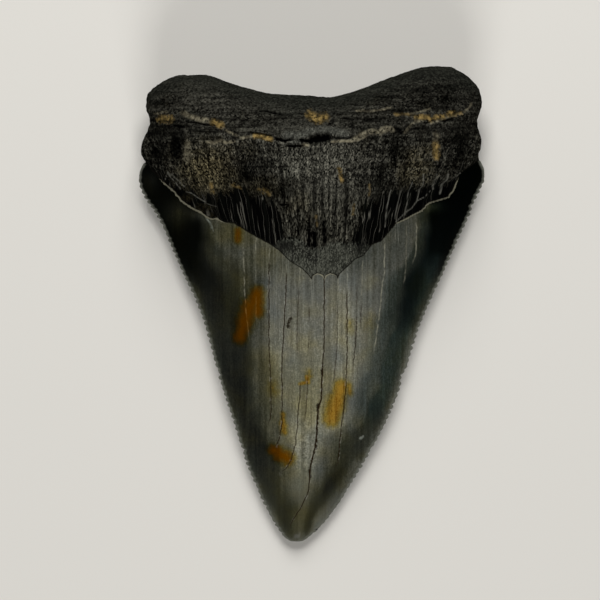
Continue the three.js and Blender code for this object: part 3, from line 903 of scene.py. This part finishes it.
# %% [markdown]
# ## Material: phosphate fossil, enamel and root
#
# A fossil tooth is mineralised all through: its enamel is close-grained fluorapatite, and its root is
# porous apatite with mud in the pores. The enamel gives the eye a dull silky gloss and cloudy greys, the
# neck is black, and the root is matte and speckled. It could be three materials with hard borders. One
# material with layers lets the borders be ragged, as they are on the tooth.
#
# One small function adds a node, its settings and its links. Everything else is lists of layers.

# %% Colours and nodes


def linear(code):
    """An sRGB hex colour as linear red, green, blue and alpha."""
    parts = [int(code[i:i + 2], 16) / 255 for i in (1, 3, 5)]
    return (*(c / 12.92 if c <= 0.04045 else ((c + 0.055) / 1.055) ** 2.4 for c in parts), 1)


fossil = bpy.data.materials.new("mineralised_tooth")
fossil.use_nodes = True
tree = fossil.node_tree
tree.nodes.clear()


def add_node(kind, inputs, output=0, **settings):
    """Adds a shader node with its settings, fills or links its inputs, and gives back one of its outputs."""
    made = tree.nodes.new("ShaderNode" + kind)
    for name, value in settings.items():
        setattr(made, name, value)
    for socket, value in inputs.items():
        if isinstance(value, bpy.types.NodeSocket):
            tree.links.new(value, made.inputs[socket])
        else:
            made.inputs[socket].default_value = value
    return made.outputs[output] if made.outputs else None


print("material", fossil.name, "started")

# %% [markdown]
# ## Patterns at their real size
#
# Real pores are a tenth of a millimetre wide or less. That is finer than a pixel of the render, so pores
# and grains are drawn 0.14 to 0.26 mm wide, as coarse as they need to be to show. Fibres of the neck are
# drawn out along the way the tooth grew, streaks in the enamel are half a millimetre wide and over a
# centimetre long, and its clouds are half a centimetre across. A picture of stone would have one fixed
# size. Noise takes the real one: each pattern's scale is one over its size.

# %% Noise patterns
where = add_node("TexCoord", {}, "Object")
growth_way = add_node("Attribute", {}, "Vector", attribute_name="growth")
SWAY, SWAY_SIZE = 0.7, 2 * MM
sway = add_node("TexNoise", {"Vector": where, "Scale": 1 / SWAY_SIZE, "Detail": 1}, "Color")
swaying = add_node("VectorMath", {0: sway, 1: (SWAY, 0, 0), 2: growth_way}, operation="MULTIPLY_ADD")
PATTERNS = {
    # name: texture, coordinates, size across, size along and detail, in m for where and in mm for growth
    "grains": ("Voronoi", where, 0.26 * MM, 0.19 * MM, 0),
    "pores": ("Voronoi", growth_way, 0.15, 0.25, 0),
    "fibres": ("Voronoi", growth_way, 0.14, 0.4, 0),
    "strands": ("Noise", growth_way, 0.6, 12, 1.5),
    "threads": ("Noise", swaying, 0.8, 14, 1),
    "bedding": ("Noise", where, 7 * MM, 0.5 * MM, 2),
    "specks": ("Noise", where, 0.8 * MM, 0.8 * MM, 2),
    "patches": ("Noise", where, 3 * MM, 3 * MM, 3),
    "streaks": ("Noise", where, 0.5 * MM, 14 * MM, 2),
    "silk": ("Noise", where, 0.22 * MM, 0.8 * MM, 2),
    "hairs": ("Noise", where, 0.9 * MM, 30 * MM, 1),
    "grit": ("Noise", where, 0.25 * MM, 0.25 * MM, 1),
    "clouds": ("Noise", where, 5 * MM, 5 * MM, 3),
    "ragged": ("Noise", where, 0.45 * MM, 0.45 * MM, 3),
}
pattern = {}
for name, (texture, coordinates, wide, tall, detail) in PATTERNS.items():
    scale = (1 / wide, 1 / tall, 1 / max(wide, tall))
    scaled = add_node("VectorMath", {0: coordinates, 1: scale}, operation="MULTIPLY")
    pattern[name] = add_node("Tex" + texture, {"Vector": scaled, "Scale": 1, "Detail": detail},
                             "Color" if texture == "Voronoi" else 0)
print("patterns:", ", ".join(pattern))

# %% [markdown]
# ## Fields with ragged borders
#
# Read straight from the mesh, a border would be as smooth as its line of pixels. Adding a little noise to
# the field before it is cut makes the border wander, by the amount given here in the field's own unit.
# The enamel's tone is made uneven in the same way, by clouds, streaks and a fine grit, which fade towards
# the tip, and by coarser crumbs where it is rough.

# %% Read the fields
UNEVEN = [
    # field, pattern, amount
    ("enamel", "ragged", 0.08), ("neck", "strands", 8), ("neck", "fibres", 1.2),
    ("tongue", "fibres", 1.2), ("ochre", "ragged", 0.4), ("vein", "specks", 0.3), ("warm", "clouds", 0.8),
    ("cool", "streaks", 0.5), ("ochre", "specks", 0.25), ("cream", "ragged", 0.5),
    ("cream", "specks", 0.25), ("hollow", "ragged", 0.8), ("hollow", "specks", 0.5),
    ("stain", "ragged", 0.12), ("stain", "specks", 0.4), ("crack_mm", "ragged", 0.15),
    ("edge", "specks", 0.3), ("shade", "patches", 1), ("brown", "patches", 1), ("tissue", "ragged", 0.8),
]
field = {name: add_node("Attribute", {}, "Fac", attribute_name=name) for name in fields}
for name, source, amount in UNEVEN:
    wander = add_node("Math", {0: pattern[source], 1: amount, 2: -amount / 2}, operation="MULTIPLY_ADD")
    field[name] = add_node("Math", {0: field[name], 1: wander}, operation="ADD")
NOISE_MIDDLE, CRUMBLY = 0.5, 0.5
MOTTLES = [("clouds", 0.45), ("streaks", 0.75), ("silk", 0.5), ("grit", 0.55)]
for source, amount in MOTTLES:
    mottle = add_node("Math", {0: pattern[source], 1: amount, 2: 1 - amount / 2}, operation="MULTIPLY_ADD")
    mottle = add_node("Mix", {0: field["streaky"], 2: 1, 3: mottle})
    field["tone"] = add_node("Math", {0: field["tone"], 1: mottle}, operation="MULTIPLY")
field.update(pattern)
crumbs = add_node("Math", {0: pattern["ragged"], 1: NOISE_MIDDLE}, operation="SUBTRACT")
crumbs = add_node("Math", {0: crumbs, 1: field["rough"]}, operation="MULTIPLY")
field["tone"] = add_node("Math", {0: crumbs, 1: CRUMBLY, 2: field["tone"]}, operation="MULTIPLY_ADD")
print(len(UNEVEN), "borders and", len(MOTTLES), "mottles made uneven")

# %% [markdown]
# ## Layers of colour
#
# Colour is built like a painting, from the first layer up. It could be one picture, but layers stay sharp
# from near and can be changed one by one. A layer says which field it follows, where the field turns it
# on, and its colour. The root's ground colours come first, and its grain then darkens and lightens
# whatever tone is there. The enamel is painted on its own, from black up through warm greys.

# %% Root and enamel grounds
ROOT_LAYERS = [
    # field, where the layer starts to show, where it covers all, colour
    ("specks", 0.5, 0.65, "#2c2b26"), ("specks", 0.5, 0.35, "#161512"), ("bedding", 0.48, 0.3, "#0a0a08"),
    ("bedding", 0.52, 0.7, "#33322c"), ("lower", 0, 1, "#2b2a24"), ("brown", 0.1, 1.2, "#393425"),
    # the shade and rim layers are partly painted shade, beside the mud lines and on the rim where it slopes
    # away
    ("pale", 0, 1, "#3f3e37"), ("shade", 0.1, 1, "#050504"), ("rim", 0, 1.3, "#1d1e1a"),
    ("ledge", 0.3, 0.8, "#41413b"),
]
ENAMEL_LAYERS = [
    ("tone", 0, 0.1, "#1a1b17"), ("tone", 0.1, 0.2, "#34352c"), ("tone", 0.2, 0.4, "#67675e"),
    ("tone", 0.4, 0.6, "#98988e"),
]


def paint(colour, layers, blend="MIX"):
    """Lays each layer over the colour so far, or blends the two in the way that is asked for."""
    for name, start, end, code in layers:
        cover = add_node("MapRange", {"Value": field[name], "From Min": start, "From Max": end})
        layer = linear(code) if isinstance(code, str) else code
        colour = add_node("Mix", {0: cover, 6: colour, 7: layer}, 2, data_type="RGBA", blend_type=blend)
    return colour


root_colour = paint(linear("#23221d"), ROOT_LAYERS)
enamel_colour = paint(linear("#010201"), ENAMEL_LAYERS)
print(len(ROOT_LAYERS), "root layers and", len(ENAMEL_LAYERS), "enamel layers")

# %% [markdown]
# ## Grain of the root
#
# Pores are dark with dirt and with painted shade, and their rims are worn pale. Round pores cover the upper
# root, and below the long crack they are drawn out into short upright fibres, in lighter and darker strands.
# A bump alone would not darken them under soft light, so the grain multiplies the ground colour, as painted
# shade in the pores. A power makes most grains dark and a few light, and the factor that goes with it makes
# up for the light that is lost. The grain fades on the worn rim and on the ledge.

# %% Grain
FLAT_FALL, DARK_FALL, MIDDLE_FALL = 1.5, 2.4, 0.75
UPPER_GAIN, MIDDLE_GAIN = 1.15, 1.6
darker = add_node("Math", {0: field["shade"], 1: field["brown"]}, operation="MAXIMUM")
upper_fall = add_node("MapRange", {"Value": darker, "To Min": FLAT_FALL, "To Max": DARK_FALL})
fall = add_node("Math", {0: field["middle"], 1: MIDDLE_FALL, 2: upper_fall}, operation="MULTIPLY_ADD")
grain = pattern["grains"]
for share_name, finer in (("middle", "pores"), ("lower", "fibres")):
    grain = add_node("Mix", {0: field[share_name], 2: grain, 3: pattern[finer]})
specked = add_node("Math", {0: grain, 1: fall}, operation="POWER")
gain = add_node("MapRange", {"Value": field["middle"], "To Min": UPPER_GAIN, "To Max": MIDDLE_GAIN})
evened = add_node("Math", {0: fall, 1: gain, 2: gain}, operation="MULTIPLY_ADD")
grain_light = add_node("Math", {0: specked, 1: evened}, operation="MULTIPLY")
strand_light = add_node("MapRange", {"Value": pattern["strands"], "From Min": 0.35, "From Max": 0.65,
                                     "To Min": 0.22, "To Max": 1.78})
strand_share = add_node("Mix", {0: field["drip"], 2: 1, 3: strand_light})
light = add_node("Math", {0: grain_light, 1: strand_share}, operation="MULTIPLY")
smoother = add_node("Math", {0: field["rim"], 1: field["ledge"]}, operation="MAXIMUM")
worn = add_node("MapRange", {"Value": smoother, "To Min": 1, "To Max": 0.6})
grained = add_node("VectorMath", {0: root_colour, "Scale": light}, operation="SCALE")
root_colour = add_node("Mix", {0: worn, 6: root_colour, 7: grained}, 2, data_type="RGBA")
print("grain laid over the root")

# %% [markdown]
# ## Neck, tongue, mud and veins
#
# The neck is where the gum held on: black, with threads of the root hanging over it, and in the middle a
# matte grey tongue that reaches down to the enamel. Mud in the root's cracks dried cream, or ochre where
# it holds iron, and pale veins cross the neck. The threads could be curves, but there are dozens of them.
# Each is drawn where a stretched noise passes its middle value, which gives thin lines that sway and end
# as the real ones do.

# %% Tissues over the root
THINNING = 0.007
off_middle = add_node("Math", {0: pattern["threads"], 1: NOISE_MIDDLE}, operation="SUBTRACT")
thread = add_node("Math", {0: off_middle}, operation="ABSOLUTE")
field["thread"] = add_node("Math", {0: field["wing"], 1: THINNING, 2: thread}, operation="MULTIPLY_ADD")
thread_colour = paint(linear("#020202"), [("strands", 0.38, 0.58, "#57554d")])
TISSUES = {
    # name: first colour, layers over it
    "neck": ("#030303", [("strands", 0.42, 0.66, "#090a08"), ("thread", 0.016, 0.003, thread_colour)]),
    "tissue": ("#110f0a", [("grains", 0.5, 0.85, "#2b271b"), ("grains", 0.5, 0.2, "#070604")]),
    "tongue": ("#2e2f29", [
        ("patches", 0.5, 0.7, "#45463e"), ("patches", 0.48, 0.3, "#20201c"),
        ("streaks", 0.5, 0.8, "#4c4d44"), ("streaks", 0.45, 0.2, "#1e1e1b"),
        # the last layer darkens the tongue's edges as painted shade
        ("pores", 0.5, 1.1, "#6a6b60"), ("pores", 0.5, -0.1, "#141412"), ("shade", 0.2, 1, "#0d0d0c"),
    ]),
    "cream": ("#4a4538", [("specks", 0.4, 0.64, "#7f7965"), ("ragged", 0.46, 0.34, "#100e09")]),
    "ochre": ("#43381f", [("specks", 0.4, 0.64, "#8a7446"), ("ragged", 0.46, 0.34, "#1a1307")]),
}
tissue = {name: paint(linear(ground), layers) for name, (ground, layers) in TISSUES.items()}
TISSUE_LAYERS = [
    ("neck", 0, 0.15, tissue["neck"]), ("tissue", 0.4, 0.8, tissue["tissue"]),
    # the hollows are painted near black as painted shade
    ("tongue", -0.1, 0.3, tissue["tongue"]), ("hollow", 0.35, 0.7, "#020202"),
    ("cream", 0.2, 0.75, tissue["cream"]), ("ochre", 0.2, 0.75, tissue["ochre"]),
    # the dark band just above the enamel's edge is a painted shadow under the enamel's lip
    ("enamel", -0.25, -0.05, "#100f0c"), ("vein", 0.5, 0.95, "#66655d"),
]
root_colour = paint(root_colour, TISSUE_LAYERS)
print(len(TISSUE_LAYERS), "layers over the root")

# %% [markdown]
# ## Stains, hairlines and edges on the enamel
#
# Over the enamel's grey go warm and cool tints, hair-thin pale lines, the amber of the iron stains, the pale
# cutting edge and a few small hollows, painted dark as painted shade. Stains are in the enamel, not on it,
# so their amber is deeper where the enamel is darker. They could be decals on planes of their own. As layers
# of the same material they follow the surface and bake with it.

# %% Marks on the enamel
AMBER_LAYERS = [("tone", 0.1, 0.3, "#5c3700"), ("tone", 0.3, 0.45, "#927028")]
TINTS = [
    ("warm", 0, 1, "#fff5c6"), ("cool", 0, 1, "#c3e6f6"), ("clouds", 0.5, 0.7, "#fffae8"),
    ("clouds", 0.5, 0.3, "#f2f7ff"), ("stain", 0.05, 0.5, "#eedc88"),
]
enamel_colour = paint(enamel_colour, TINTS, blend="MULTIPLY")
amber = paint(linear("#452600"), AMBER_LAYERS)
from_line = add_node("Math", {0: pattern["hairs"], 1: NOISE_MIDDLE}, operation="SUBTRACT")
hair = add_node("Math", {0: from_line}, operation="ABSOLUTE")
fading = add_node("MapRange", {"Value": field["enamel"], "From Max": 12, "To Max": 0.01})
on_pale = add_node("MapRange", {"Value": field["tone"], "From Min": 0.1, "From Max": 0.25,
                                "To Min": 0.02, "To Max": 0})
hair = add_node("Math", {0: hair, 1: fading}, operation="ADD")
field["hair"] = add_node("Math", {0: hair, 1: on_pale}, operation="ADD")
MARK_LAYERS = [
    ("hair", 0.012, -0.016, "#939285"), ("stain", 0.35, 0.9, amber), ("edge", 0.45, 0.12, "#65665d"),
    # the small hollows on the enamel are painted dark as painted shade
    ("hollow", 0.35, 0.6, "#262219"), ("cream", 0.3, 0.8, "#858a80"),
]
enamel_colour = paint(enamel_colour, MARK_LAYERS)
print(len(TINTS), "tints and", len(MARK_LAYERS), "layers of marks")

# %% [markdown]
# ## Crack lines
#
# An open crack is dark with dirt and broken where the dirt fell out. One that mineral has filled is pale,
# and amber where it crosses a stain. Pale flecks beside the open ones are a painted highlight on the lips of
# the cracks. Thin meshes could be laid into the cracks, but the columns of the grid already follow them, so
# distance alone draws a fine line.

# %% Cracks on the enamel
on_line = add_node("MapRange", {"Value": field["crack_mm"], "From Min": 0.15, "From Max": 0.03})
beside = add_node("MapRange", {"Value": field["crack_mm"], "From Min": 0.32, "From Max": 0.14})
flecked = add_node("MapRange", {"Value": pattern["specks"], "From Min": 0.56, "From Max": 0.64})
lip_highlight = add_node("Math", {0: beside, 1: flecked}, operation="MULTIPLY")
field["lip_highlight"] = add_node("Math", {0: lip_highlight, 1: field["crack"]}, operation="MULTIPLY")
# painted highlight on the lips of the open cracks
enamel_colour = paint(enamel_colour, [("lip_highlight", 0, 5, "#b9b7a9")])
filled_crack = paint(linear("#a5a28e"), [("stain", 0.25, 0.6, "#8e6a36")])
CRACK_INKS = [
    # sign and strength, colour, pattern of the gaps, where it starts to show, where it covers all
    (1, linear("#21170b"), "ragged", 0.22, 0.46), (-0.55, filled_crack, "specks", 0.3, 0.62),
]
for sign, ink, gaps, start, end in CRACK_INKS:
    broken = add_node("MapRange", {"Value": pattern[gaps], "From Min": start, "From Max": end})
    inked = add_node("Math", {0: field["crack"], 1: sign}, operation="MULTIPLY", use_clamp=True)
    line = add_node("Math", {0: inked, 1: on_line}, operation="MULTIPLY")
    cover = add_node("Math", {0: line, 1: broken}, operation="MULTIPLY", use_clamp=True)
    enamel_colour = add_node("Mix", {0: cover, 6: enamel_colour, 7: ink}, 2, data_type="RGBA")
print(len(CRACK_INKS), "kinds of crack inked")

# %% [markdown]
# ## Put the surface together
#
# The enamel mask chooses between the two paintings, and the thin pale line of the enamel's edge is drawn
# over both. Roughness is 0.4 for worn enamel, 0.5 for the neck and 0.85 for the root, and the index of
# refraction is that of apatite, 1.63. With the shader's plain reflection a pale studio would veil the
# blacks of so dark a tooth, so it is off, and a thin coat gives the pale enamel its silky gloss. A fine
# bump adds the pores that are smaller than the mesh. Values that are the same all over are set on the
# shader itself, where an export finds them.

# %% The shader
APATITE_IOR = 1.63
ENAMEL_ROUGH, NECK_ROUGH, ROOT_ROUGH = 0.4, 0.5, 0.85
PORE_HEIGHT, GLAZED_PORES = 0.1 * MM, 0.04
LINE_FALL, SPECKLE = -9, 0.9
COAT, COAT_ROUGH = 0.08, 0.2
enamel_mask = add_node("MapRange", {"Value": field["enamel"], "From Min": -0.04, "From Max": 0.04})
neck_mask = add_node("MapRange", {"Value": field["neck"], "From Min": 0, "From Max": 0.1})
colour = add_node("Mix", {0: enamel_mask, 6: root_colour, 7: enamel_colour}, 2, data_type="RGBA")
from_margin = add_node("Math", {0: field["enamel"]}, operation="ABSOLUTE")
margin = add_node("Math", {0: from_margin, 1: LINE_FALL, 2: field["wing"]}, operation="MULTIPLY_ADD")
field["margin"] = add_node("Math", {0: pattern["specks"], 1: SPECKLE, 2: margin}, operation="MULTIPLY_ADD")
colour = paint(colour, [("margin", 0.65, 1.05, "#777463")])
root_rough = add_node("MapRange", {"Value": neck_mask, "To Min": ROOT_ROUGH, "To Max": NECK_ROUGH})
rough = add_node("Mix", {0: enamel_mask, 2: root_rough, 3: ENAMEL_ROUGH})
glazed = add_node("Math", {0: enamel_mask, 1: neck_mask}, operation="MAXIMUM")
pore_depth = add_node("MapRange", {"Value": glazed, "To Min": 1, "To Max": GLAZED_PORES})
pore_height = add_node("Math", {0: pattern["ragged"], 1: pore_depth}, operation="MULTIPLY")
bumped = add_node("Bump", {"Height": pore_height, "Distance": PORE_HEIGHT})
gloss = add_node("MapRange", {"Value": field["tone"], "From Min": 0.03, "From Max": 0.2, "To Max": COAT})
polish = add_node("Math", {0: enamel_mask, 1: gloss}, operation="MULTIPLY")
surface = add_node("BsdfPrincipled", {
    "Base Color": colour, "Roughness": rough, "Normal": bumped, "IOR": APATITE_IOR, "Specular IOR Level": 0,
    "Coat Weight": polish, "Coat Roughness": COAT_ROUGH,
})
add_node("OutputMaterial", {"Surface": surface})
mesh.materials.append(fossil)
print("roughness", ENAMEL_ROUGH, "on enamel and", ROOT_ROUGH, "on the root")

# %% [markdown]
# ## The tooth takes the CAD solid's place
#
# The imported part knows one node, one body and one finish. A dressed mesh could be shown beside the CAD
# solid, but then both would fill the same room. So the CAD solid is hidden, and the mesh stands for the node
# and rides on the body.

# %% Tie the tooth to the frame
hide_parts("tooth")
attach(tooth, "root")
print("shark_tooth replaces tooth")

# %% [markdown]
# ## Floor
#
# The tooth is as dark as coal, so it lies on something plain and pale: matte paper, a rough white surface
# without any gloss. A curved studio sweep would do as well. A flat square three metres wide is enough
# here, because the tooth is so small.

# %% Pale floor
FLOOR_SIZE = 3
PAPER_ROUGH = 0.9
floor_mesh = bpy.data.meshes.new("floor")
half_floor = FLOOR_SIZE / 2
floor_corners = [(half_floor * x, half_floor * y, 0) for x, y in ((-1, -1), (1, -1), (1, 1), (-1, 1))]
floor_mesh.from_pydata(floor_corners, [], [(0, 1, 2, 3)])
floor = put_in_scene("floor", floor_mesh)
paper = bpy.data.materials.new("matte_paper")
paper.use_nodes = True
paper_shader = paper.node_tree.nodes["Principled BSDF"]
paper_shader.inputs["Base Color"].default_value = linear("#dcd9d2")
paper_shader.inputs["Roughness"].default_value = PAPER_ROUGH
floor_mesh.materials.append(paper)
print(f"floor {FLOOR_SIZE} m across")

# %% [markdown]
# ## Light
#
# Two large soft lights stand beyond the root and beyond the tip. Light from the sides would be mirrored
# by the sloping flanks and draw bright bands on them. From these two ends it only grazes the enamel and
# brings out the relief of the root, and a faint even glow fills the shadows.

# %% Soft lights
GLOW = 0.03
LIGHTS = [
    # name, place in m, width in m, watts
    ("root_softbox", (0, 0.6, 0.5), 0.5, 7),
    ("tip_softbox", (0, -0.75, 0.36), 0.4, 5),
]
for name, place, width, watts in LIGHTS:
    lamp = bpy.data.lights.new(name, "AREA")
    lamp.shape = "SQUARE"
    lamp.size = width
    lamp.energy = watts
    stand = put_in_scene(name, lamp)
    stand.location = place
    stand.rotation_euler = (-Vector(place)).to_track_quat("-Z", "Y").to_euler()
world = bpy.data.worlds.new("studio")
world.use_nodes = True
backdrop = world.node_tree.nodes["Background"]
backdrop.inputs["Color"].default_value = linear("#ffffff")
backdrop.inputs["Strength"].default_value = GLOW
bpy.context.scene.world = world
bpy.context.scene.view_settings.view_transform = "Standard"
print(len(LIGHTS), "lights")

# %% [markdown]
# ## Camera
#
# The photo was taken square on, so the camera looks straight down from a metre away. A short lens nearby
# would frame the tooth as well, but it would spread the raised root. The lens is worked out from the
# pixel's size, so that the render and the photo can be laid over each other.

# %% Camera
SENSOR = 36
CLIP_START = 0.01
camera = bpy.data.cameras.new("photo_camera")
camera.sensor_width = SENSOR
camera.lens = SENSOR * CAMERA_DISTANCE / (PHOTO_SIZE * PIXEL)
camera.clip_start = CLIP_START
eye = put_in_scene("photo_camera", camera)
eye.location = Vector(((photo_middle - PHOTO_ORIGIN[0]) * PIXEL, (PHOTO_ORIGIN[1] - photo_middle) * PIXEL,
                       CAMERA_DISTANCE + OUTLINE_HEIGHT)) * MM
bpy.context.scene.camera = eye
print(f"lens {camera.lens:.0f} mm, {CAMERA_DISTANCE} mm above the tooth")
